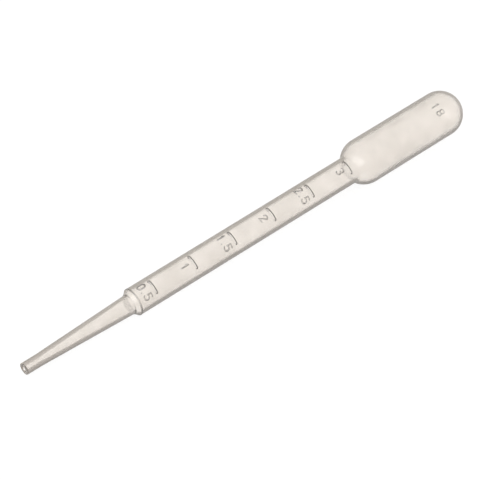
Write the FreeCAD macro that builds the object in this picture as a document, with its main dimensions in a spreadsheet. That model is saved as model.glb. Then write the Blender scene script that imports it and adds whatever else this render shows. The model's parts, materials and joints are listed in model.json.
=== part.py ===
import FreeCAD, Part
import math
import os
import Sketcher
from FreeCAD import Vector

# Graduated plastic dropper pipette, blow-moulded in one piece.
# It is drawn with its axis along +X: tip opening at 0, bulb at the far end, graduations
# facing +Z. A placement then lays it on its side, as it comes to rest on a bench.

doc = FreeCAD.newDocument("DropperPipette")

# Driving dimensions, in millimetres and degrees
dimensions = [
    ("tip_radius", 1.77, "outside of the straight end of the tip"),
    ("tip_wall", 0.92, "wall of the straight end"),
    ("tip_length", 5.0, "straight end, before the tip widens"),
    ("tip_edge_round", 0.15, "rounding of the cut end"),
    ("cone_length", 30.4, "tapered stretch of the tip"),
    ("cone_radius", 2.88, "outside of the taper where it meets the step"),
    ("cone_wall", 0.6, "wall of the taper at the step"),
    ("step_length", 1.4, "conical step up to the stem"),
    ("step_round", 0.6, "rounding of both corners of the step"),
    ("stem_radius", 4.05, "outside of the graduated stem"),
    ("stem_wall", 0.62, "wall of the stem"),
    ("stem_length", 77.2, "from the step to the neck of the bulb"),
    ("neck_round", 0.8, "rounding where stem and bulb meet"),
    ("bulb_radius", 6.75, "outside of the bulb at its shoulder"),
    ("bulb_end_radius", 6.7, "outside of the bulb at its domed end"),
    ("bulb_wall", 0.4, "wall of the bulb"),
    ("bulb_length", 35.5, "from the shoulder's end to the end of the dome"),
    ("shoulder_radius", 7.0, "arc of the bulb's shoulder, seen from the side"),
    ("mark_count", 6, "graduation bars"),
    ("mark_step", 0.5, "millilitres from bar to bar"),
    ("mark_first", 5.7, "first bar, from the step"),
    ("mark_pitch", 13.9, "from bar to bar"),
    ("mark_width", 0.8, "width of a bar"),
    ("mark_height", 0.14, "how far bars and numerals stand out"),
    ("mark_span", 67.0, "how far a bar goes round the stem, degrees"),
    ("numeral_height", 2.8, "height of a numeral"),
    ("numeral_width", 1.7, "width of a numeral"),
    ("numeral_stroke", 0.42, "width of a numeral's stroke"),
    ("numeral_gap", 1.4, "from the middle of a bar to its numeral"),
    ("numeral_pitch", 1.68, "from one character to the next"),
    ("cavity_number", 18, "plain number of the mould cavity, on the bulb"),
    ("cavity_pitch", 2.35, "from one digit of it to the next"),
    ("cavity_setback", 2.0, "from the number to where the dome begins"),
    ("roll", 25.0, "turn of the graduations towards -Y, degrees"),
    ("rest_flat", 0.1, "how far the soft wall is pressed in where it lies on the bench"),
]

# Places that follow from them
derived = [
    ("step_start", "tip_length + cone_length"),
    ("stem_start", "step_start + step_length"),
    ("neck", "stem_start + stem_length"),
    ("stem_bore", "stem_radius - stem_wall"),
    ("shoulder_level", "bulb_radius - shoulder_radius"),
    ("shoulder_run", "sqrt(shoulder_radius ^ 2 - (stem_radius - shoulder_level) ^ 2)"),
    ("bulb_start", "neck + shoulder_run"),
    ("dome_centre", "bulb_start + bulb_length - bulb_end_radius"),
    ("overall", "dome_centre + bulb_end_radius"),
    ("inner_shoulder", "shoulder_radius - bulb_wall"),
    ("inner_neck", "bulb_start - sqrt(inner_shoulder ^ 2 - (stem_bore - shoulder_level) ^ 2)"),
    # the step keeps the stem's wall, measured square to its slope
    ("step_angle", "atan2(stem_radius - cone_radius; step_length)"),
    ("step_shift", "stem_wall * tan(step_angle / 2)"),
    # at rest the foot of the stem and the bulb's shoulder touch the bench
    ("foot_start", "stem_start + step_round * tan(step_angle / 2)"),
    ("foot_level", "stem_radius - step_round"),
    ("rest_span", "hypot(bulb_start - foot_start; shoulder_level - foot_level)"),
    ("rest_tilt", "asin((shoulder_radius - step_round) / rest_span)"
                  " + atan2(shoulder_level - foot_level; bulb_start - foot_start)"),
    ("rest_height", "foot_level * cos(rest_tilt) - foot_start * sin(rest_tilt) + step_round"
                    " - rest_flat"),
    ("low_end", "-tip_radius * sin(rest_tilt)"),
    ("high_end", "dome_centre * cos(rest_tilt) + bulb_end_radius"),
]

sheet = doc.addObject("Spreadsheet::Sheet", "Sizes")
for row, (name, value, note) in enumerate(dimensions, start=1):
    sheet.set(f"A{row}", name)
    sheet.set(f"B{row}", str(value))
    sheet.set(f"C{row}", note)
    sheet.setAlias(f"B{row}", name)
for row, (name, formula) in enumerate(derived, start=len(dimensions) + 2):
    sheet.set(f"A{row}", name)
    sheet.set(f"B{row}", "=" + formula)
    sheet.setAlias(f"B{row}", name)
doc.recompute()


def size(name):
    """Value of one cell as a bare number."""
    value = getattr(sheet, name)
    return value.Value if hasattr(value, "Value") else value


# ---- sketches ----

def bind(sketch, kind, place, name, formula):
    """Add a dimension to a sketch and tie it to the sheet."""
    value = float(sketch.evalExpression(formula))
    index = sketch.addConstraint(Sketcher.Constraint(kind, *place, value))
    sketch.renameConstraint(index, name)
    sketch.setExpression(f"Constraints.{name}", formula)


def arc_from_corners(start, end, radius):
    """Arc from start to end, bulging away from the axis. Also says if it runs backwards."""
    chord = end - start
    middle = (start + end) / 2
    across = Vector(-chord.y, chord.x, 0).normalize()
    if across.y > 0:
        across = -across
    centre = middle + across * math.sqrt(radius ** 2 - (chord.Length / 2) ** 2)
    angles = [math.atan2(p.y - centre.y, p.x - centre.x) for p in (start, end)]
    circle = Part.Circle(centre, Vector(0, 0, 1), radius)
    return Part.ArcOfCircle(circle, min(angles), max(angles)), angles[0] > angles[1]


def closed_sketch(body, name, role, corners):
    """Closed outline on one of the body's origin planes.

    Each corner is (name, formula along the axis, formula off the axis, formula of the
    radius if the edge that leaves the corner is an arc, otherwise None).
    """
    sketch = body.newObject("Sketcher::SketchObject", name)
    plane = next(p for p in body.Origin.OriginFeatures if p.Role == role)
    sketch.AttachmentSupport = [(plane, "")]
    sketch.MapMode = "FlatFace"
    places = [Vector(float(sketch.evalExpression(along)), float(sketch.evalExpression(off)), 0)
              for _, along, off, _ in corners]
    ends = []
    for number, (corner, _, _, radius) in enumerate(corners):
        start, end = places[number], places[(number + 1) % len(places)]
        if radius is None:
            edge = sketch.addGeometry(Part.LineSegment(start, end))
            ends.append((edge, 1, 2))
        else:
            shape, backwards = arc_from_corners(start, end, float(sketch.evalExpression(radius)))
            edge = sketch.addGeometry(shape)
            ends.append((edge, 2, 1) if backwards else (edge, 1, 2))
    for number, (corner, along, off, radius) in enumerate(corners):
        edge, start, _ = ends[number]
        before, _, finish = ends[number - 1]
        sketch.addConstraint(Sketcher.Constraint("Coincident", before, finish, edge, start))
        if along == "0":
            sketch.addConstraint(Sketcher.Constraint("PointOnObject", edge, start, -2))
        else:
            bind(sketch, "DistanceX", (-1, 1, edge, start), corner + "_along", along)
        if off == "0":
            sketch.addConstraint(Sketcher.Constraint("PointOnObject", edge, start, -1))
        else:
            bind(sketch, "DistanceY", (-1, 1, edge, start), corner + "_off", off)
        if radius is not None:
            bind(sketch, "Radius", (edge,), corner + "_radius", radius)
    return sketch


def revolved(body, name, sketch):
    """Turn a sketch about the tube's axis."""
    feature = body.newObject("PartDesign::Revolution", name)
    feature.Profile = sketch
    feature.ReferenceAxis = (sketch, ["H_Axis"])
    return feature


# ---- the moulded tube, in half section ----
# The section lies on the XY plane, so the seams of its faces pass beside the graduations.

tube = doc.addObject("PartDesign::Body", "tube")
section = closed_sketch(tube, "wall_section", "XY_Plane", [
    ("tip_rim", "0", "Sizes.tip_radius", None),
    ("tip_end", "Sizes.tip_length", "Sizes.tip_radius", None),
    ("step_foot", "Sizes.step_start", "Sizes.cone_radius", None),
    ("stem_foot", "Sizes.stem_start", "Sizes.stem_radius", None),
    ("neck", "Sizes.neck", "Sizes.stem_radius", "Sizes.shoulder_radius"),
    ("bulb", "Sizes.bulb_start", "Sizes.bulb_radius", None),
    ("dome", "Sizes.dome_centre", "Sizes.bulb_end_radius", "Sizes.bulb_end_radius"),
    ("pole", "Sizes.overall", "0", None),
    ("inner_pole", "Sizes.overall - Sizes.bulb_wall", "0", "Sizes.bulb_end_radius - Sizes.bulb_wall"),
    ("inner_dome", "Sizes.dome_centre", "Sizes.bulb_end_radius - Sizes.bulb_wall", None),
    ("inner_bulb", "Sizes.bulb_start", "Sizes.bulb_radius - Sizes.bulb_wall", "Sizes.inner_shoulder"),
    ("inner_neck", "Sizes.inner_neck", "Sizes.stem_bore", None),
    ("inner_stem", "Sizes.stem_start + Sizes.step_shift", "Sizes.stem_bore", None),
    ("inner_step", "Sizes.step_start + Sizes.step_shift", "Sizes.cone_radius - Sizes.cone_wall", None),
    ("bore_end", "Sizes.tip_length", "Sizes.tip_radius - Sizes.tip_wall", None),
    ("bore_rim", "0", "Sizes.tip_radius - Sizes.tip_wall", None),
])
wall = revolved(tube, "moulded_wall", section)
wall.setExpression("Angle", "360 deg")
doc.recompute()


def ring_edge(shape, along, radius):
    """Name of the circular edge round the axis at that place."""
    for number, edge in enumerate(shape.Edges, start=1):
        if edge.Degenerated or not isinstance(edge.Curve, Part.Circle):
            continue
        if abs(edge.Curve.Radius - radius) < 1e-4 and abs(edge.Curve.Center.x - along) < 1e-4:
            return f"Edge{number}"
    raise RuntimeError(f"no circular edge at {along} mm, radius {radius} mm")


def rounded(body, name, base, corners, formula):
    """Fillet circular edges of the tube, each given by its place and radius."""
    fillet = body.newObject("PartDesign::Fillet", name)
    fillet.Base = (base, [ring_edge(base.Shape, *corner) for corner in corners])
    fillet.setExpression("Radius", formula)
    doc.recompute()
    return fillet


cut_end = rounded(tube, "rounded_cut_end", wall, [(0, size("tip_radius"))], "Sizes.tip_edge_round")
step = rounded(tube, "rounded_step", cut_end, [
    (size("step_start"), size("cone_radius")),
    (size("stem_start"), size("stem_radius")),
], "Sizes.step_round")
neck = rounded(tube, "rounded_neck", step, [
    (size("neck"), size("stem_radius")),
    (size("inner_neck"), size("stem_bore")),
], "Sizes.neck_round")

# ---- graduation bars: one rib with a curved top, repeated along the stem ----

bar_middle = "(Sizes.stem_start + Sizes.mark_first)"
bar_root = "Sizes.stem_radius - Sizes.stem_wall / 2"
bar_section = closed_sketch(tube, "bar_section", "XZ_Plane", [
    ("near_root", bar_middle + " - Sizes.mark_width / 2", bar_root, None),
    ("near_side", bar_middle + " - Sizes.mark_width / 2", "Sizes.stem_radius",
     "(Sizes.mark_width ^ 2 / 4 + Sizes.mark_height ^ 2) / (2 * Sizes.mark_height)"),
    ("far_side", bar_middle + " + Sizes.mark_width / 2", "Sizes.stem_radius", None),
    ("far_root", bar_middle + " + Sizes.mark_width / 2", bar_root, None),
])
bar = revolved(tube, "graduation_bar", bar_section)
bar.Midplane = True
bar.setExpression("Angle", "Sizes.mark_span")
doc.recompute()
bars = tube.newObject("PartDesign::LinearPattern", "graduation_bars")
bars.Originals = [bar]
bars.Direction = (bar_section, ["H_Axis"])
bars.setExpression("Length", "Sizes.mark_pitch * (Sizes.mark_count - 1)")
bars.setExpression("Occurrences", "Sizes.mark_count")
tube.Tip = bars
doc.recompute()

# ---- raised numerals ----
# Characters are strokes, in a frame with x to the reader's right and y up.

digit_width = size("numeral_width") - size("numeral_stroke")
digit_height = size("numeral_height") - size("numeral_stroke")


def bowl(across, up, radius, begin, finish):
    """Arc of a digit about a centre, from one angle to another, in degrees."""
    angles = [math.radians(a) for a in (begin, (begin + finish) / 2, finish)]
    points = [Vector(across + radius * math.cos(a), up + radius * math.sin(a), 0) for a in angles]
    return Part.Arc(*points).toShape()


def run(*points):
    """Straight strokes through points given as shares of the digit's half width and height."""
    places = [Vector(x * digit_width / 2, y * digit_height, 0) for x, y in points]
    return [Part.makeLine(a, b) for a, b in zip(places, places[1:])]


def digit_strokes(digit):
    """Strokes of one character, each a list of joined edges."""
    half, tall = digit_width / 2, digit_height
    small = tall / 4
    ring = [bowl(0, half, half, 0, 180), bowl(0, half, half, 180, 360)]
    upper_ring = [bowl(0, tall - half, half, 0, 180), bowl(0, tall - half, half, 180, 360)]
    rise = half / tall
    return {
        "0": [[bowl(0, tall - half, half, 0, 180)] + run((-1, 1 - rise), (-1, rise))
              + [bowl(0, half, half, 180, 360)] + run((1, rise), (1, 1 - rise))],
        "1": [run((-0.6, 0.76), (0, 1), (0, 0))],
        "2": [[bowl(0, tall - half, half, 180, 0)] + run((1, 1 - rise), (-1, 0), (1, 0))],
        "3": [[bowl(0, 3 * small, small, 150, -90), bowl(0, small, small, 90, -150)]],
        "4": [run((0.4, 0), (0.4, 1), (-1, 0.3), (1, 0.3))],
        "5": [run((0.9, 1), (-0.8, 1), (-0.8, 0.55)), [bowl(0, 0.31 * tall, 0.31 * tall, 140, -150)]],
        "6": [ring, run((-1, rise), (-0.2, 1))],
        "7": [run((-1, 1), (1, 1), (-0.3, 0))],
        "8": [[bowl(0, small, small, 0, 180), bowl(0, small, small, 180, 360)],
              [bowl(0, 3 * small, small, 0, 180), bowl(0, 3 * small, small, 180, 360)]],
        "9": [upper_ring, run((1, 1 - rise), (0.2, 0))],
    }[digit]


def stroke_face(edges):
    """Flat face of one stroke, drawn as wide as the numerals' strokes."""
    wire = Part.Wire(edges)
    reach = size("numeral_stroke") / 2
    if wire.isClosed():
        outside, inside = wire.makeOffset2D(reach), wire.makeOffset2D(-reach)
        return Part.Face(outside).cut(Part.Face(inside))
    return Part.Face(wire.makeOffset2D(reach, 0, False, False))


def raised_text(text, pitch, foot, radius, wall_thickness):
    """Characters standing out of the tube, upright towards the bulb, centred on +Z."""
    pieces = []
    for number, character in enumerate(text):
        across = (number - (len(text) - 1) / 2) * pitch
        if character == ".":
            faces = [Part.Face(Part.Wire(Part.makeCircle(size("numeral_stroke") * 0.6)))]
        else:
            faces = [stroke_face(edges) for edges in digit_strokes(character)]
        for face in faces:
            face.translate(Vector(across, size("numeral_stroke") / 2, 0))
            pieces.append(face.extrude(Vector(0, 0, radius)))
    letters = pieces[0].fuse(pieces[1:]) if len(pieces) > 1 else pieces[0]
    letters.rotate(Vector(), Vector(0, 0, 1), -90)
    letters.translate(Vector(foot, 0, radius / 2))
    length = size("numeral_height") * 2
    start = Vector(foot - length / 4, 0, 0)
    skin = Part.makeCylinder(radius + size("mark_height"), length, start, Vector(1, 0, 0))
    core = Part.makeCylinder(radius - wall_thickness / 2, length, start, Vector(1, 0, 0))
    return letters.common(skin.cut(core))


raised = []
for number in range(int(size("mark_count"))):
    bar_place = size("stem_start") + size("mark_first") + number * size("mark_pitch")
    foot = bar_place - size("numeral_gap") - size("numeral_height")
    text = f"{size('mark_step') * (number + 1):g}"
    raised.append(raised_text(text, size("numeral_pitch"), foot, size("stem_radius"), size("stem_wall")))
number_foot = size("dome_centre") - size("cavity_setback") - size("numeral_height")
raised.append(raised_text(f"{size('cavity_number'):g}", size("cavity_pitch"), number_foot,
                          size("bulb_end_radius"), size("bulb_wall")))
numerals = doc.addObject("Part::Feature", "numerals")
numerals.Shape = Part.makeCompound(raised)

# ---- the finished piece, lying on a bench ----

moulding = doc.addObject("Part::MultiFuse", "moulding")
moulding.Shapes = [tube, numerals]
moulding.setExpression("Placement", "placement("
                       "vector(-(Sizes.low_end + Sizes.high_end) / 2; 0; Sizes.rest_height);"
                       "rotation(vector(0; 1; 0); -Sizes.rest_tilt) * rotation(vector(1; 0; 0); Sizes.roll))")

# the bench leaves a small flat on the foot of the stem and on the bulb's shoulder
bench = doc.addObject("Part::Box", "bench")
bench.setExpression("Length", "Sizes.overall")
bench.setExpression("Width", "2 * Sizes.bulb_radius")
bench.setExpression("Height", "Sizes.bulb_radius")
bench.setExpression("Placement", "placement("
                    "vector(-Sizes.overall / 2; -Sizes.bulb_radius; -Sizes.bulb_radius);"
                    "rotation(vector(0; 0; 1); 0))")

pipette = doc.addObject("Part::Cut", "dropper_pipette")
pipette.Label = "dropper_pipette"
pipette.Base = moulding
pipette.Tool = bench
doc.recompute()

for item in doc.Objects:
    if "Invalid" in item.State or "Error" in item.State:
        raise RuntimeError(f"{item.Label} failed to build: {item.State}")
for item in (tube, numerals, moulding, pipette):
    if item.Shape.isNull() or not item.Shape.isValid():
        raise RuntimeError(f"{item.Label} has no valid shape")
if len(pipette.Shape.Solids) != 1:
    raise RuntimeError(f"expected one solid, got {len(pipette.Shape.Solids)}")

os.makedirs("parts", exist_ok=True)
pipette.Shape.exportStep(f"parts/{pipette.Label}.step")
box = pipette.Shape.optimalBoundingBox()
print(f"{pipette.Label}: {box.XLength:.2f} x {box.YLength:.2f} x {box.ZLength:.2f} mm, "
      f"{pipette.Shape.Volume:.0f} cubic mm, lowest point {box.ZMin:.4f}")
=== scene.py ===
# Dropper pipette: one thin blow-moulded tube with its raised scale, lying on a white bench.
import json
import math
import bpy
from mathutils import Matrix, Vector


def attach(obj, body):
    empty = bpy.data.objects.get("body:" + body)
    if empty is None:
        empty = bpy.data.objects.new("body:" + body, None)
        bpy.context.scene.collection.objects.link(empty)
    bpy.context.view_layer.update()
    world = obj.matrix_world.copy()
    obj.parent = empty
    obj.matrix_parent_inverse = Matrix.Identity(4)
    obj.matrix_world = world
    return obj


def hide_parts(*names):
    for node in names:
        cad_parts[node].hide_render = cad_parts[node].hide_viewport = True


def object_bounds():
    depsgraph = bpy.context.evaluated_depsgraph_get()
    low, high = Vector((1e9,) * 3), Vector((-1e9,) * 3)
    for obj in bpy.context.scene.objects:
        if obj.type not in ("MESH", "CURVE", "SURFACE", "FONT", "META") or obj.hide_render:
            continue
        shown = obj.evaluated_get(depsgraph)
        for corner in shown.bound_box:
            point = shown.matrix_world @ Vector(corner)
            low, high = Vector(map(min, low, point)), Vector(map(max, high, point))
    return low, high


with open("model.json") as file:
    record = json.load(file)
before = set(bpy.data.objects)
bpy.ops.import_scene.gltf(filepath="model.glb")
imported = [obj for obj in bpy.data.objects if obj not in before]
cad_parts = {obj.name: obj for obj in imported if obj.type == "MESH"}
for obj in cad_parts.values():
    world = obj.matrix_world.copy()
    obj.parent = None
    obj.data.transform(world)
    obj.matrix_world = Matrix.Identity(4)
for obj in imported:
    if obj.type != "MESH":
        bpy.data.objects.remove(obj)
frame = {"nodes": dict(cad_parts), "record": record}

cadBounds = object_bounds()
mm = 0.001
mounts = {mount["name"]: mount for mount in frame["record"]["mounts"]}
print("frame loaded:", ", ".join(frame["nodes"]))


def toLinear(hexColour, alpha=1.0):
    channels = [int(hexColour[i:i + 2], 16) / 255 for i in (1, 3, 5)]
    linear = [c / 12.92 if c <= 0.04045 else ((c + 0.055) / 1.055) ** 2.4 for c in channels]
    return (*linear, alpha)


def addNode(tree, kind, inputs=None, **settings):
    # inputs: socket name or number -> a value, or the socket that feeds it
    node = tree.nodes.new(kind)
    for name, value in settings.items():
        setattr(node, name, value)
    for name, value in (inputs or {}).items():
        if isinstance(value, bpy.types.NodeSocket):
            tree.links.new(value, node.inputs[name])
        else:
            node.inputs[name].default_value = value
    return node


def addObject(name, mesh):
    thing = bpy.data.objects.new(name, mesh)
    bpy.context.scene.collection.objects.link(thing)
    return thing


def pointObject(name, points, edges=()):
    # loose points or edges that a node tree reads
    mesh = bpy.data.meshes.new(name)
    mesh.from_pydata([Vector(p) for p in points], list(edges), [])
    return addObject(name, mesh)


# the moulded tube, seen in half section
tube = {  # millimetres
    "tipRadius": mounts["tip"]["dims"]["r_mm"],
    "tipBore": mounts["tip_bore"]["dims"]["r_mm"],
    "tipLength": 5.0,
    "tipEdgeRound": 0.15,
    "coneLength": 30.4,
    "coneRadius": 2.88,
    "coneWall": 0.6,
    "stepLength": 1.4,
    "stepRound": 0.6,
    "stemRadius": mounts["stem"]["dims"]["r_mm"],
    "stemWall": 0.62,
    "stemLength": 77.2,
    "neckRound": 0.8,
    "bulbRadius": 6.75,
    "bulbEndRadius": 6.7,
    "bulbWall": 0.4,
    "bulbLength": 35.5,
    "shoulderRadius": 7.0,
    "boreRounds": (0.25, 0.5),  # inside the step, at the cone and at the stem
    "beadWidth": 0.5,           # a fine ring is left by the mould at both bends of the step; as it is raised, it takes the marks' painted shade too
    "beadHeight": 0.085,
    "bendEdge": 0.6,            # where the plastic's grey rim starts at a bend, 0 to 1, as boreEdge
    "bendReach": 1.2,           # from a bend to where the rim is as it is elsewhere
}

scale = {  # millimetres, degrees
    "count": 6,
    "stepMl": 0.5,
    "first": 5.7,       # from the step to the first bar
    "pitch": 13.9,
    "span": 67.0,
    "barWidth": 0.95,
    "barEdge": 0.475,   # how softly a bar rises
    "barHeight": 0.20,
    "numeralHeight": 2.8,
    "numeralWidth": 1.7,
    "numeralPitch": 1.68,
    "numeralGap": 1.4,
    "stroke": 0.42,
    "strokeEdge": 0.21,
    "strokeHeight": 0.14,
    "cavityNumber": "18",
    "cavityPitch": 2.35,
    "cavitySetback": 2.0,
    "turn": 25.0,       # graduations lean this far from straight up, towards -Y
}

detail = {  # how finely the wall is divided
    "fineRow": 0.11,    # mm between rings where the surface is raised
    "coarseRow": 1.2,
    "arcStep": 4.0,     # degrees between rings round the shoulder and the dome
    "roundStep": 6.0,   # and round the small corners of the section
    "fineSpoke": 1.5,   # degrees between spokes across the scale
    "coarseSpoke": 3.6,
    "fineHalf": 44.0,   # half the sector that has fine spokes, degrees
    "zoneMargin": 0.3,  # mm of fine rings kept round what is raised
    "strokePiece": 0.15,    # mm between points of a stroke
    "bowlStep": 12.0,   # degrees between points of a numeral's bowl
    "barPoints": 48,
    "beadPoints": 120,  # points round a bead
    "mergeWithin": 0.001,   # mm
}

stepStart = tube["tipLength"] + tube["coneLength"]
stemStart = stepStart + tube["stepLength"]
neck = stemStart + tube["stemLength"]
shoulderLevel = tube["bulbRadius"] - tube["shoulderRadius"]


def shoulderRun(radius, level):
    # along the tube, from where the shoulder's arc is at this level to its top
    return math.sqrt(radius ** 2 - (level - shoulderLevel) ** 2)


bulbStart = neck + shoulderRun(tube["shoulderRadius"], tube["stemRadius"])
domeCentre = bulbStart + tube["bulbLength"] - tube["bulbEndRadius"]
barPlaces = [stemStart + scale["first"] + scale["pitch"] * n for n in range(scale["count"])]
beadPlaces = [(stepStart, tube["coneRadius"]), (stemStart, tube["stemRadius"])]
cavityFoot = domeCentre - scale["cavitySetback"] - scale["numeralHeight"]


def arcPoints(centre, radius, begin, finish):
    # begin and finish in degrees from the tube's axis
    count = max(2, math.ceil(abs(finish - begin) / detail["arcStep"]))
    angles = [math.radians(begin + (finish - begin) * i / count) for i in range(count + 1)]
    return [(centre[0] + radius * math.cos(a), centre[1] + radius * math.sin(a)) for a in angles]


def roundCorner(before, corner, after, radius):
    # tangent arc in place of a corner of the section
    corner = Vector(corner)
    toBefore = (Vector(before) - corner).normalized()
    toAfter = (Vector(after) - corner).normalized()
    half = toBefore.angle(toAfter) / 2
    centre = corner + (toBefore + toAfter).normalized() * (radius / math.sin(half))
    start = corner + toBefore * (radius / math.tan(half)) - centre
    turn = (-start).angle_signed(-(corner + toAfter * (radius / math.tan(half)) - centre))
    count = max(3, math.ceil(abs(math.degrees(turn)) / detail["roundStep"]))
    return [tuple(centre + Matrix.Rotation(-turn * i / count, 2) @ start) for i in range(count + 1)]


def sectionPath(inner):
    # outline from the cut end to the pole of the dome; inner is the face of the bore
    if inner:
        tip, cone = tube["tipBore"], tube["coneRadius"] - tube["coneWall"]
        stem, bulb = tube["stemRadius"] - tube["stemWall"], tube["bulbWall"]
        angle = math.atan2(tube["stemRadius"] - tube["coneRadius"], tube["stepLength"])
        shift, rounds = tube["stemWall"] * math.tan(angle / 2), (0, *tube["boreRounds"])
    else:
        tip, cone, stem, bulb, shift = tube["tipRadius"], tube["coneRadius"], tube["stemRadius"], 0, 0
        rounds = (tube["tipEdgeRound"], tube["stepRound"], tube["stepRound"])
    arcRadius = tube["shoulderRadius"] - bulb
    centre = (bulbStart, shoulderLevel)
    neckAngle = math.degrees(math.asin((stem - shoulderLevel) / arcRadius))
    shoulder = arcPoints(centre, arcRadius, 180 - neckAngle, 90)
    dome = arcPoints((domeCentre, 0), tube["bulbEndRadius"] - bulb, 90, 0)
    corners = [(0, tip), (tube["tipLength"], tip), (stepStart + shift, cone),
               (stemStart + shift, stem), shoulder[0]]
    path = [(0, tip)]
    if rounds[0]:
        path = roundCorner((0, 0), corners[0], corners[1], rounds[0])
    path.append(corners[1])
    path += roundCorner(corners[1], corners[2], corners[3], rounds[1])
    path += roundCorner(corners[2], corners[3], corners[4], rounds[2])
    path += roundCorner(corners[3], shoulder[0], shoulder[1], tube["neckRound"])
    return path + [p for p in shoulder[1:] if p[0] > path[-1][0]] + dome


def raisedZones():
    spans = [(place - tube["beadWidth"] / 2, place + tube["beadWidth"] / 2) for place, _ in beadPlaces]
    for place in barPlaces:
        spans.append((place - scale["barWidth"] / 2, place + scale["barWidth"] / 2))
        top = place - scale["numeralGap"]
        spans.append((top - scale["numeralHeight"], top))
    spans.append((cavityFoot, cavityFoot + scale["numeralHeight"]))
    return [(low - detail["zoneMargin"], high + detail["zoneMargin"]) for low, high in spans]


def divideRows(path, zones):
    # rings close together where something is raised, wide apart elsewhere
    rows = [path[0]]
    for start, end in zip(path, path[1:]):
        cuts = sorted({start[0], end[0], *(x for zone in zones for x in zone if start[0] < x < end[0])})
        if end[0] - start[0] < 1e-6:
            rows.append(end)
            continue
        for low, high in zip(cuts, cuts[1:]):
            middle = (low + high) / 2
            fine = any(a < middle < b for a, b in zones)
            count = math.ceil((high - low) / (detail["fineRow"] if fine else detail["coarseRow"]) - 1e-6)
            for i in range(1, count + 1):
                along = low + (high - low) * i / count
                share = (along - start[0]) / (end[0] - start[0])
                rows.append((along, start[1] + (end[1] - start[1]) * share))
    return rows


def boreEdge(wall, radius):
    # how far from square-on the outside is where a straight look just misses the bore, 0 to 1
    return 1 - math.sqrt(1 - (1 - wall / radius) ** 2)


tipEdge = boreEdge(tube["tipRadius"] - tube["tipBore"], tube["tipRadius"])
stemEdge = boreEdge(tube["stemWall"], tube["stemRadius"])
coneEdge = boreEdge(tube["coneWall"], tube["coneRadius"])
bulbEdge = boreEdge(tube["bulbWall"], tube["bulbRadius"])
bendEdge, bendReach = tube["bendEdge"], tube["bendReach"]
edgePlaces = [  # place along the tube, where the grey rim starts; the bends stay clear
    (0, 1.0), (tube["tipEdgeRound"], tipEdge), (tube["tipLength"], tipEdge),
    (stepStart - bendReach, coneEdge), (stepStart, bendEdge), (stemStart, bendEdge),
    (stemStart + bendReach, stemEdge), (neck - bendReach, stemEdge), (neck, bendEdge),
    (neck + bendReach, bendEdge), (bulbStart, bulbEdge), (domeCentre + tube["bulbEndRadius"], bulbEdge),
]


def edgeAt(place):
    for (low, before), (high, after) in zip(edgePlaces, edgePlaces[1:]):
        if place <= high:
            break
    return before + (after - before) * min((place - low) / (high - low), 1)


outerRows = divideRows(sectionPath(False), raisedZones())
innerRows = divideRows(sectionPath(True), [])
sectionRows = [(x, y, edgeAt(x)) for x, y in outerRows[:-1]]
sectionRows += [(outerRows[-1][0], 0.0, bulbEdge), (innerRows[-1][0], 0.0, 1.0)]
sectionRows += [(x, y, 1.0) for x, y in innerRows[-2::-1]]
sectionRows.append(sectionRows[0])
# x is along the tube and y is the radius; z carries boreEdge
section = pointObject("section", [(x * mm, max(y, 0) * mm, edge) for x, y, edge in sectionRows])

fineCount = round(2 * detail["fineHalf"] / detail["fineSpoke"])
coarseCount = round((360 - 2 * detail["fineHalf"]) / detail["coarseSpoke"])
spokeAngles = [-detail["fineHalf"] + detail["fineSpoke"] * i for i in range(fineCount)]
spokeAngles += [detail["fineHalf"] + (360 - 2 * detail["fineHalf"]) * i / coarseCount
                for i in range(coarseCount + 1)]
spokes = pointObject("spokes", [(math.radians(a), 0, 0) for a in spokeAngles])
print("section:", len(sectionRows), "rings,", len(spokeAngles), "spokes")

# numerals, as an engraver's strokes
digitHalf = (scale["numeralWidth"] - scale["stroke"]) / 2
digitTall = scale["numeralHeight"] - scale["stroke"]


def bowl(up, radius, begin, finish):
    count = math.ceil(abs(finish - begin) / detail["bowlStep"])
    angles = [math.radians(begin + (finish - begin) * i / count) for i in range(count + 1)]
    return [(radius * math.cos(a), up + radius * math.sin(a)) for a in angles]


def run(*points):
    # x as a share of the half width, y as a share of the height
    return [(x * digitHalf, y * digitTall) for x, y in points]


def digitStrokes(character):
    # x across and y up from the middle of the foot, along the middle of each stroke
    tall, small, big = digitTall, digitTall / 4, digitTall * 0.31
    rise = digitHalf / tall
    return {
        ".": [[(0, 0), (0, 0.02)]],
        "0": [bowl(tall - digitHalf, digitHalf, 0, 180) + bowl(digitHalf, digitHalf, 180, 360)
              + run((1, 1 - rise))],
        "1": [run((-0.6, 0.76), (0, 1), (0, 0))],
        "2": [bowl(tall - digitHalf, digitHalf, 180, 0) + run((-1, 0), (1, 0))],
        "3": [bowl(3 * small, small, 150, -90) + bowl(small, small, 90, -150)[1:]],
        "5": [run((0.9, 1), (-0.8, 1), (-0.8, 0.55)), bowl(big, big, 140, -150)],
        "8": [bowl(small, small, 0, 360), bowl(3 * small, small, 0, 360)],
    }[character]


def layText(text, pitch, foot, radius):
    # flat strokes in mm: x along the tube, y round it, z the radius that they are laid on
    points, edges = [], []
    for number, character in enumerate(text):
        across = (number - (len(text) - 1) / 2) * pitch
        for stroke in digitStrokes(character):
            stroke = [(x + across, y) for x, y in stroke]
            for (x0, y0), (x1, y1) in zip(stroke, stroke[1:]):
                pieces = math.ceil(math.hypot(x1 - x0, y1 - y0) / detail["strokePiece"])
                for i in range(pieces):
                    for share in (i / pieces, (i + 1) / pieces):
                        points.append(((foot + scale["stroke"] / 2 + y0 + (y1 - y0) * share) * mm,
                                       (x0 + (x1 - x0) * share) * mm, radius * mm))
                    edges.append((len(points) - 2, len(points) - 1))
    return points, edges


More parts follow.
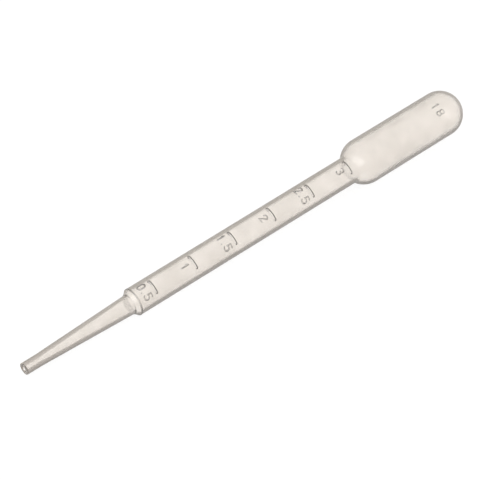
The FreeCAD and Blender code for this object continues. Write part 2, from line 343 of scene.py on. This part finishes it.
strokePoints, strokeEdges = [], []
texts = [(f"{scale['stepMl'] * (n + 1):g}", scale["numeralPitch"],
          place - scale["numeralGap"] - scale["numeralHeight"], tube["stemRadius"])
         for n, place in enumerate(barPlaces)]
texts.append((scale["cavityNumber"], scale["cavityPitch"], cavityFoot, tube["bulbEndRadius"]))
for text in texts:
    points, edges = layText(*text)
    strokeEdges += [(a + len(strokePoints), b + len(strokePoints)) for a, b in edges]
    strokePoints += points
strokes = pointObject("strokes", strokePoints, strokeEdges)
print("numerals:", ", ".join(text[0] for text in texts))

# the beads, as plain rings
beadPoints, beadEdges = [], []
for place, radius in beadPlaces:
    first = len(beadPoints)
    for i in range(detail["beadPoints"]):
        angle = 2 * math.pi * i / detail["beadPoints"]
        beadPoints.append((place * mm, radius * mm * math.sin(angle), radius * mm * math.cos(angle)))
        beadEdges.append((first + i, first + (i + 1) % detail["beadPoints"]))
beads = pointObject("beads", beadPoints, beadEdges)

plastic = {
    "clear": ("#FFFBF7", "#F7F3EE"),  # where the wall is thin, and where it is thick
    "haze": "#BFB7AF",
    "markPaintedShade": "#7E7973",      # painted shade: a darker haze on the flanks of what is raised, the bars, numerals and beads
    "shadow": "#F4F2EF",        # what the wall lets through to its shadow
    "ior": 1.51,
    "transmission": 0.95,
    "roughness": (0.18, 0.24),
    "hazeRoughness": 0.45,
    "markRoughness": 0.10,      # what is raised is polished
    "markRise": 0.05,           # mm of rise at which a mark is taken as raised
    "markShadeEdge": 0.32,           # where a mark's painted shade starts, in place of boreEdge
    "markBump": 1.3,            # adds to the flanks' slope, as a share of it
    "aslant": (0.65, 1.0),      # haze begins and is full at these shares of boreEdge
    "aslantShare": 0.92,
    "rippleMm": 5.0,            # slow unevenness left by the blown wall
    "rippleBump": (0.15, 0.25),     # strength, mm
    "grainMm": 0.35,            # fine texture of the mould
    "grainBump": (0.05, 0.02),
}


# Natural LDPE: straight through its thin wall it is nearly clear, a warm milky white. Where the look
# runs along the wall, at the rims, the tip and the flanks of the scale, the same plastic is grey haze; on
# the marks it is painted shade, darker and sooner, standing in for the dark lines that refraction draws
# there.
def makePlastic():
    material = bpy.data.materials.new("blow-moulded LDPE")
    material.use_nodes = True
    tree = material.node_tree
    tree.nodes.clear()
    place = addNode(tree, "ShaderNodeTexCoord")
    ripple = addNode(tree, "ShaderNodeTexNoise", {
        "Vector": place.outputs["Object"], "Scale": 1 / (plastic["rippleMm"] * mm), "Detail": 2.0})
    grain = addNode(tree, "ShaderNodeTexNoise", {
        "Vector": place.outputs["Object"], "Scale": 1 / (plastic["grainMm"] * mm), "Detail": 3.0})
    marks = addNode(tree, "ShaderNodeAttribute", attribute_name="raised")
    onMark = addNode(tree, "ShaderNodeMapRange", {
        "Value": marks.outputs["Fac"], "From Max": plastic["markRise"] * mm})

    # a noise lies mostly between 0.3 and 0.7
    thick = addNode(tree, "ShaderNodeMapRange", {
        "Value": ripple.outputs["Fac"], "From Min": 0.3, "From Max": 0.7})
    wallRough = addNode(tree, "ShaderNodeMapRange", {
        "Value": thick.outputs["Result"],
        "To Min": plastic["roughness"][0], "To Max": plastic["roughness"][1]})
    rough = addNode(tree, "ShaderNodeMix", {
        0: onMark.outputs["Result"], 2: wallRough.outputs["Result"], 3: plastic["markRoughness"]},
        data_type="FLOAT")
    normal = None
    for height, strength, distance in (
            (ripple, plastic["rippleBump"][0], plastic["rippleBump"][1] * mm),
            (grain, plastic["grainBump"][0], plastic["grainBump"][1] * mm),
            (marks, 1.0, plastic["markBump"])):
        bump = addNode(tree, "ShaderNodeBump", {
            "Height": height.outputs["Fac"], "Strength": strength, "Distance": distance})
        if normal:
            tree.links.new(normal, bump.inputs["Normal"])
        normal = bump.outputs["Normal"]

    clearColour = addNode(tree, "ShaderNodeMix", {
        0: thick.outputs["Result"], 6: toLinear(plastic["clear"][0]), 7: toLinear(plastic["clear"][1])},
        data_type="RGBA")
    clear = addNode(tree, "ShaderNodeBsdfPrincipled", {
        "Base Color": clearColour.outputs[2], "IOR": plastic["ior"], "Normal": normal,
        "Transmission Weight": plastic["transmission"], "Roughness": rough.outputs[0]})
    # painted shade: on the marks the haze takes a darker grey
    hazeAndMarkShade = addNode(tree, "ShaderNodeMix", {
        0: onMark.outputs["Result"], 6: toLinear(plastic["haze"]), 7: toLinear(plastic["markPaintedShade"])},
        data_type="RGBA")
    haze = addNode(tree, "ShaderNodeBsdfPrincipled", {
        "Base Color": hazeAndMarkShade.outputs[2], "IOR": plastic["ior"], "Normal": normal,
        "Roughness": plastic["hazeRoughness"]})

    # the haze begins where a look just misses the bore; on a mark it begins sooner, as painted shade
    wallEdge = addNode(tree, "ShaderNodeAttribute", attribute_name="boreEdge")
    edge = addNode(tree, "ShaderNodeMix", {
        0: onMark.outputs["Result"], 2: wallEdge.outputs["Fac"], 3: plastic["markShadeEdge"]}, data_type="FLOAT")
    reach = [addNode(tree, "ShaderNodeMath", {0: edge.outputs[0], 1: share}, operation="MULTIPLY")
             for share in plastic["aslant"]]
    facing = addNode(tree, "ShaderNodeLayerWeight", {"Blend": 0.5, "Normal": normal})
    aslant = addNode(tree, "ShaderNodeMapRange", {
        "Value": facing.outputs["Facing"], "From Min": reach[0].outputs[0], "From Max": reach[1].outputs[0],
        "To Min": 0.0, "To Max": plastic["aslantShare"]}, interpolation_type="SMOOTHSTEP")
    wall = addNode(tree, "ShaderNodeMixShader", {
        0: aslant.outputs["Result"], 1: clear.outputs["BSDF"], 2: haze.outputs["BSDF"]})

    letThrough = addNode(tree, "ShaderNodeBsdfTransparent", {"Color": toLinear(plastic["shadow"])})
    rays = addNode(tree, "ShaderNodeLightPath")
    surface = addNode(tree, "ShaderNodeMixShader", {
        0: rays.outputs["Is Shadow Ray"], 1: wall.outputs["Shader"], 2: letThrough.outputs["BSDF"]})
    addNode(tree, "ShaderNodeOutputMaterial", {"Surface": surface.outputs["Shader"]})
    return material


# the node tree that turns the section and raises the scale
def makeWallTree():
    tree = bpy.data.node_groups.new("moulded wall", "GeometryNodeTree")
    for name, kind in (("Section", "NodeSocketObject"), ("Spokes", "NodeSocketObject"),
                       ("Numerals", "NodeSocketObject"), ("Beads", "NodeSocketObject"),
                       ("Bar Count", "NodeSocketInt"),
                       ("First Bar", "NodeSocketFloat"), ("Bar Pitch", "NodeSocketFloat"),
                       ("Bar Span", "NodeSocketFloat"), ("Bar Radius", "NodeSocketFloat"),
                       ("Bar Width", "NodeSocketFloat"), ("Bar Edge", "NodeSocketFloat"),
                       ("Bar Height", "NodeSocketFloat"), ("Stroke Width", "NodeSocketFloat"),
                       ("Stroke Edge", "NodeSocketFloat"), ("Stroke Height", "NodeSocketFloat"),
                       ("Bead Width", "NodeSocketFloat"), ("Bead Height", "NodeSocketFloat"),
                       ("Material", "NodeSocketMaterial")):
        tree.interface.new_socket(name, in_out="INPUT", socket_type=kind)
    tree.interface.new_socket("Geometry", in_out="OUTPUT", socket_type="NodeSocketGeometry")
    given = addNode(tree, "NodeGroupInput").outputs

    def readPoints(name):
        source = addNode(tree, "GeometryNodeObjectInfo", {"Object": given[name]})
        size = addNode(tree, "GeometryNodeAttributeDomainSize", {0: source.outputs["Geometry"]})
        return source.outputs["Geometry"], size.outputs["Point Count"]

    def calc(operation, a, b=None):
        return addNode(tree, "ShaderNodeMath", {0: a} if b is None else {0: a, 1: b},
                       operation=operation).outputs[0]

    position = addNode(tree, "GeometryNodeInputPosition").outputs["Position"]
    rings, ringCount = readPoints("Section")
    wheel, spokeCount = readPoints("Spokes")

    # a grid with one column of points for each ring, bent round the axis; the halves that are added
    # keep a division from falling just short of a whole number
    grid = addNode(tree, "GeometryNodeMeshGrid", {"Vertices X": ringCount, "Vertices Y": spokeCount})
    index = addNode(tree, "GeometryNodeInputIndex").outputs[0]
    ring = calc("FLOOR", calc("DIVIDE", calc("ADD", index, 0.5), spokeCount))
    spoke = calc("FLOOR", calc("SUBTRACT", calc("ADD", index, 0.5), calc("MULTIPLY", ring, spokeCount)))
    at = []
    for geometry, number in ((rings, ring), (wheel, spoke)):
        sample = addNode(tree, "GeometryNodeSampleIndex", {
            "Geometry": geometry, "Value": position, "Index": number}, data_type="FLOAT_VECTOR")
        at.append(addNode(tree, "ShaderNodeSeparateXYZ", {0: sample.outputs["Value"]}))
    angle, radius = at[1].outputs["X"], at[0].outputs["Y"]
    turned = addNode(tree, "ShaderNodeCombineXYZ", {
        "X": at[0].outputs["X"],
        "Y": calc("MULTIPLY", radius, calc("SINE", angle)),
        "Z": calc("MULTIPLY", radius, calc("COSINE", angle))})
    lathe = addNode(tree, "GeometryNodeSetPosition", {
        "Geometry": grid.outputs["Mesh"], "Position": turned.outputs["Vector"]})
    edged = addNode(tree, "GeometryNodeStoreNamedAttribute", {
        "Geometry": lathe.outputs["Geometry"], "Name": "boreEdge", "Value": at[0].outputs["Z"]},
        data_type="FLOAT")
    closed = addNode(tree, "GeometryNodeMergeByDistance", {
        "Geometry": edged.outputs["Geometry"], "Distance": detail["mergeWithin"] * mm})
    faces = addNode(tree, "GeometryNodeInputMeshEdgeNeighbors").outputs["Face Count"]
    loose = addNode(tree, "FunctionNodeCompare", {2: faces, 3: 0}, data_type="INT", operation="EQUAL")
    closed = addNode(tree, "GeometryNodeDeleteGeometry", {
        "Geometry": closed.outputs["Geometry"], "Selection": loose.outputs["Result"]},
        domain="EDGE", mode="EDGE_FACE")

    # bars: one arc round the stem, repeated along it
    arc = addNode(tree, "GeometryNodeCurveArc", {
        "Resolution": detail["barPoints"], "Radius": given["Bar Radius"],
        "Start Angle": calc("MULTIPLY", given["Bar Span"], -0.5), "Sweep Angle": given["Bar Span"]})
    upright = addNode(tree, "GeometryNodeTransform", {
        "Geometry": arc.outputs["Curve"], "Rotation": (0, -math.pi / 2, 0)})
    firstBar = addNode(tree, "ShaderNodeCombineXYZ", {"X": given["First Bar"]})
    nextBar = addNode(tree, "ShaderNodeCombineXYZ", {"X": given["Bar Pitch"]})
    ladder = addNode(tree, "GeometryNodeMeshLine", {
        "Count": given["Bar Count"], "Start Location": firstBar.outputs["Vector"],
        "Offset": nextBar.outputs["Vector"]})
    placed = addNode(tree, "GeometryNodeInstanceOnPoints", {
        "Points": ladder.outputs["Mesh"], "Instance": upright.outputs["Geometry"]})
    barLines = addNode(tree, "GeometryNodeRealizeInstances", {"Geometry": placed.outputs["Instances"]})
    barEdges = addNode(tree, "GeometryNodeCurveToMesh", {"Curve": barLines.outputs["Geometry"]})

    # numerals: flat strokes, wrapped round the radius that they carry as their height
    flat, _ = readPoints("Numerals")
    parts = addNode(tree, "ShaderNodeSeparateXYZ", {0: position})
    swing = calc("MULTIPLY", calc("DIVIDE", parts.outputs["Y"], parts.outputs["Z"]), -1.0)
    wrapped = addNode(tree, "ShaderNodeCombineXYZ", {
        "X": parts.outputs["X"],
        "Y": calc("MULTIPLY", parts.outputs["Z"], calc("SINE", swing)),
        "Z": calc("MULTIPLY", parts.outputs["Z"], calc("COSINE", swing))})
    numerals = addNode(tree, "GeometryNodeSetPosition", {
        "Geometry": flat, "Position": wrapped.outputs["Vector"]})

    # each raises the wall within its width, with straight flanks
    lift = 0.0
    for geometry, width, edge, height in (
            (barEdges.outputs["Mesh"], given["Bar Width"], given["Bar Edge"], given["Bar Height"]),
            (numerals.outputs["Geometry"], given["Stroke Width"], given["Stroke Edge"],
             given["Stroke Height"]),
            (readPoints("Beads")[0], given["Bead Width"], calc("MULTIPLY", given["Bead Width"], 0.5),
             given["Bead Height"])):
        near = addNode(tree, "GeometryNodeProximity", {"Geometry": geometry}, target_element="EDGES")
        half = calc("MULTIPLY", width, 0.5)
        rise = addNode(tree, "ShaderNodeMapRange", {
            "Value": near.outputs["Distance"], "From Min": half, "From Max": calc("SUBTRACT", half, edge),
            "To Min": 0.0, "To Max": height})
        lift = calc("MAXIMUM", rise.outputs["Result"], lift)
    normal = addNode(tree, "GeometryNodeInputNormal").outputs["Normal"]
    outwards = addNode(tree, "ShaderNodeVectorMath", {0: normal, "Scale": lift}, operation="SCALE")
    noted = addNode(tree, "GeometryNodeStoreNamedAttribute", {
        "Geometry": closed.outputs["Geometry"], "Name": "raised", "Value": lift}, data_type="FLOAT")
    raised = addNode(tree, "GeometryNodeSetPosition", {
        "Geometry": noted.outputs["Geometry"], "Offset": outwards.outputs["Vector"]})
    smooth = addNode(tree, "GeometryNodeSetShadeSmooth", {"Geometry": raised.outputs["Geometry"]})
    solid = addNode(tree, "GeometryNodeRealizeInstances", {"Geometry": smooth.outputs["Geometry"]})
    finished = addNode(tree, "GeometryNodeSetMaterial", {
        "Geometry": solid.outputs["Geometry"], "Material": given["Material"]})
    addNode(tree, "NodeGroupOutput", {0: finished.outputs["Geometry"]})
    return tree


def restingPlace():
    # the tube's own frame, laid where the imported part's mounts say
    pointsToTip = Vector(mounts["tip"]["axis"]).normalized()
    along = -pointsToTip
    side = Vector((0, 0, 1)).cross(along).normalized()
    up = along.cross(side)
    turn = math.radians(scale["turn"])
    upTurned = up * math.cos(turn) - side * math.sin(turn)
    sideTurned = upTurned.cross(along)
    bore = mounts["tip_bore"]
    tipEnd = Vector(bore["pos_m"]) + pointsToTip * bore["dims"]["length_mm"] / 2 * mm
    place = Matrix((along, sideTurned, upTurned)).transposed().to_4x4()
    place.translation = tipEnd
    return place


def makePipette(material):
    # the tree's result becomes a plain mesh, and what it read is removed
    blank = addObject("pipette blank", bpy.data.meshes.new("pipette blank"))
    modifier = blank.modifiers.new("moulded wall", "NODES")
    modifier.node_group = makeWallTree()
    values = {
        "Section": section, "Spokes": spokes, "Numerals": strokes, "Beads": beads, "Material": material,
        "Bar Count": scale["count"], "First Bar": barPlaces[0] * mm, "Bar Pitch": scale["pitch"] * mm,
        "Bar Span": math.radians(scale["span"]) - scale["barWidth"] / tube["stemRadius"],
        "Bar Radius": tube["stemRadius"] * mm, "Bar Width": scale["barWidth"] * mm,
        "Bar Edge": scale["barEdge"] * mm, "Bar Height": scale["barHeight"] * mm,
        "Stroke Width": scale["stroke"] * mm, "Stroke Edge": scale["strokeEdge"] * mm,
        "Stroke Height": scale["strokeHeight"] * mm,
        "Bead Width": tube["beadWidth"] * mm, "Bead Height": tube["beadHeight"] * mm,
    }
    for item in modifier.node_group.interface.items_tree:
        if item.in_out == "INPUT":
            modifier[item.identifier] = values[item.name]
    blank.update_tag()
    graph = bpy.context.evaluated_depsgraph_get()
    mesh = bpy.data.meshes.new_from_object(blank.evaluated_get(graph), depsgraph=graph)
    mesh.name = "pipette"
    for helper in (blank, section, spokes, strokes, beads):
        bpy.data.objects.remove(helper)
    mesh.transform(restingPlace())
    for vertex in mesh.vertices:  # the two small flats it rests on
        vertex.co.z = max(vertex.co.z, 0.0)
    return addObject("pipette", mesh)


pipette = makePipette(makePlastic())
print("pipette:", len(pipette.data.vertices), "points,", len(pipette.data.polygons), "faces")
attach(pipette, "root")
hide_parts("dropper_pipette")

studio = {
    "floor": "#808080",
    "glow": 0.86,               # of the bench where it is seen, which makes it white
    "benchHalf": 3.0,           # metres
    "worldGrey": 0.9,           # of the world where it lights something; where it is seen it is white
    "keyWatts": 8.0,
    "keyAzimuth": -78.0, "keyElevation": 38.0,  # degrees
    "keyDistance": 1.6, "keySize": (2.0, 0.8),  # metres
    "card": "#C8CAC4",          # stands behind the tube, and its far side mirrors it
    "cardPlace": 0.9, "cardTop": 1.6, "cardEnds": (-2.0, 2.5),  # metres
}

view = {
    "azimuth": -39.4, "elevation": 45.4,    # degrees
    "distance": 811.0,                      # millimetres
    "lens": 220.1, "sensor": 36.0,
    "target": (-3.2, 0.05, -3.4),           # millimetres from the middle of the part's box
    "clip": (0.05, 20.0),                   # metres
}


def seenRays(tree):
    # 1 for a ray that looks, mirrors or goes through glass, 0 for one that carries light
    rays = addNode(tree, "ShaderNodeLightPath")
    seen = addNode(tree, "ShaderNodeMath", {
        0: rays.outputs["Is Camera Ray"], 1: rays.outputs["Is Glossy Ray"]}, operation="MAXIMUM")
    return addNode(tree, "ShaderNodeMath", {
        0: seen.outputs[0], 1: rays.outputs["Is Transmission Ray"]}, operation="MAXIMUM").outputs[0]


def makeSheet(name, corners, colour, glow):
    material = bpy.data.materials.new(name)
    material.use_nodes = True
    tree = material.node_tree
    tree.nodes.clear()
    surface = addNode(tree, "ShaderNodeBsdfDiffuse", {"Color": toLinear(colour)}).outputs["BSDF"]
    if glow:
        strength = addNode(tree, "ShaderNodeMath", {0: seenRays(tree), 1: glow}, operation="MULTIPLY")
        light = addNode(tree, "ShaderNodeEmission", {"Color": (1, 1, 1, 1), "Strength": strength.outputs[0]})
        surface = addNode(tree, "ShaderNodeAddShader", {0: surface, 1: light.outputs["Emission"]}).outputs[0]
    addNode(tree, "ShaderNodeOutputMaterial", {"Surface": surface})
    mesh = bpy.data.meshes.new(name)
    mesh.from_pydata(corners, [], [(0, 1, 2, 3)])
    mesh.materials.append(material)
    return addObject(name, mesh)


half, corners = studio["benchHalf"], ((-1, -1), (1, -1), (1, 1), (-1, 1))
bench = makeSheet("white bench", [(x * half, y * half, 0) for x, y in corners],
                  studio["floor"], studio["glow"])
(left, right), far, top = studio["cardEnds"], studio["cardPlace"], studio["cardTop"]
card = makeSheet("grey card", [(left, far, 0), (right, far, 0), (right, far, top), (left, far, top)],
                 studio["card"], 0)
card.visible_camera = False  # it shows only in what the plastic mirrors
card.visible_transmission = False


def direction(azimuth, elevation):
    # azimuth 0 is from -Y, 90 from +X
    a, e = math.radians(azimuth), math.radians(elevation)
    return Vector((math.sin(a) * math.cos(e), -math.cos(a) * math.cos(e), math.sin(e)))


def addFacing(name, data, middle, towards, distance):
    # a lamp or camera that looks at middle
    thing = bpy.data.objects.new(name, data)
    thing.location = middle + towards * distance
    thing.rotation_mode = "QUATERNION"
    thing.rotation_quaternion = towards.to_track_quat("Z", "Y")
    bpy.context.scene.collection.objects.link(thing)
    return thing


def makeKey():
    lamp = bpy.data.lights.new("key softbox", "AREA")
    lamp.shape = "RECTANGLE"
    lamp.size, lamp.size_y = studio["keySize"]
    lamp.energy = studio["keyWatts"]
    towards = direction(studio["keyAzimuth"], studio["keyElevation"])
    addFacing("key softbox", lamp, Vector(), towards, studio["keyDistance"]).visible_camera = False


def makeWorld():
    world = bpy.data.worlds.new("studio")
    world.use_nodes = True
    tree = world.node_tree
    tree.nodes.clear()
    strength = addNode(tree, "ShaderNodeMapRange", {
        "Value": seenRays(tree), "To Min": studio["worldGrey"], "To Max": 1.0})
    sky = addNode(tree, "ShaderNodeBackground", {
        "Color": (1, 1, 1, 1), "Strength": strength.outputs["Result"]})
    addNode(tree, "ShaderNodeOutputWorld", {"Surface": sky.outputs["Background"]})
    bpy.context.scene.world = world


def makeCamera():
    data = bpy.data.cameras.new("camera")
    data.lens, data.sensor_width = view["lens"], view["sensor"]
    data.clip_start, data.clip_end = view["clip"]
    middle = (cadBounds[0] + cadBounds[1]) / 2 + Vector(view["target"]) * mm
    towards = direction(view["azimuth"], view["elevation"])
    bpy.context.scene.camera = addFacing("camera", data, middle, towards, view["distance"] * mm)


makeKey()
makeWorld()
makeCamera()
bpy.context.scene.view_settings.view_transform = "Standard"
print("bench, card, key softbox, world and camera placed")
